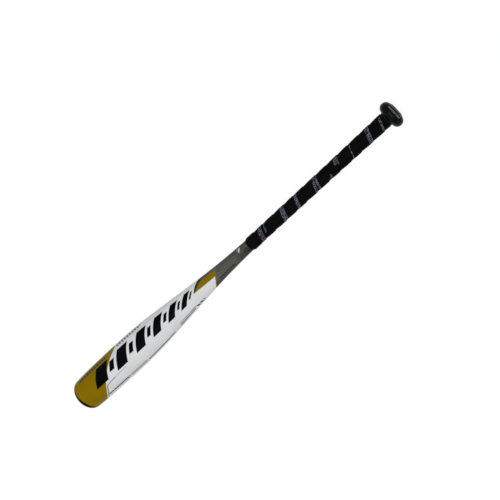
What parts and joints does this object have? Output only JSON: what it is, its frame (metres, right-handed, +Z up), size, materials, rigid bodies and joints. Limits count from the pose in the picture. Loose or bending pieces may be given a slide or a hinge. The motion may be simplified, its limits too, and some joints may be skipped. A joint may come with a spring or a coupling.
{
  "type": "baseball bat",
  "caption": "One-piece aluminium youth baseball bat with a capped barrel, tapered handle, spiral-wrapped grip and rounded knob.",
  "frame": {"origin": "centre of the knob's flat end face", "axes": "the bat lies along X, and +X points from the knob to the barrel end; +Z is up"},
  "size_m": [0.7874, 0.0666, 0.0666],
  "materials": {
    "painted_shell": "white, gold and grey paint under clear gloss coat",
    "cap_plastic": "moulded, satin",
    "adhesive": "cured resin",
    "knob_paint": "gloss black paint",
    "weld_metal": "weld bead, painted over",
    "plug_rubber": "moulded",
    "badge_plastic": "gloss, with a plain ring",
    "damper_foam": "rigid foam",
    "underlay_cloth": "adhesive cloth backing",
    "grip_leather": "cushioned synthetic leather, perforated and printed",
    "finishing_tape": "stretched vinyl tape",
    "label_film": "printed film"
  },
  "bodies": {
    "root": {"barrel_shell": "painted_shell", "end_cap": "cap_plastic", "end_cap_bond": "adhesive", "knob": "knob_paint", "knob_weld": "weld_metal", "knob_plug": "plug_rubber", "knob_badge": "badge_plastic", "handle_damper": "damper_foam", "grip_underlay": "underlay_cloth", "grip_tape": "grip_leather", "grip_finishing_tape": "finishing_tape", "handle_label": "label_film"}
  },
  "joints": []
}
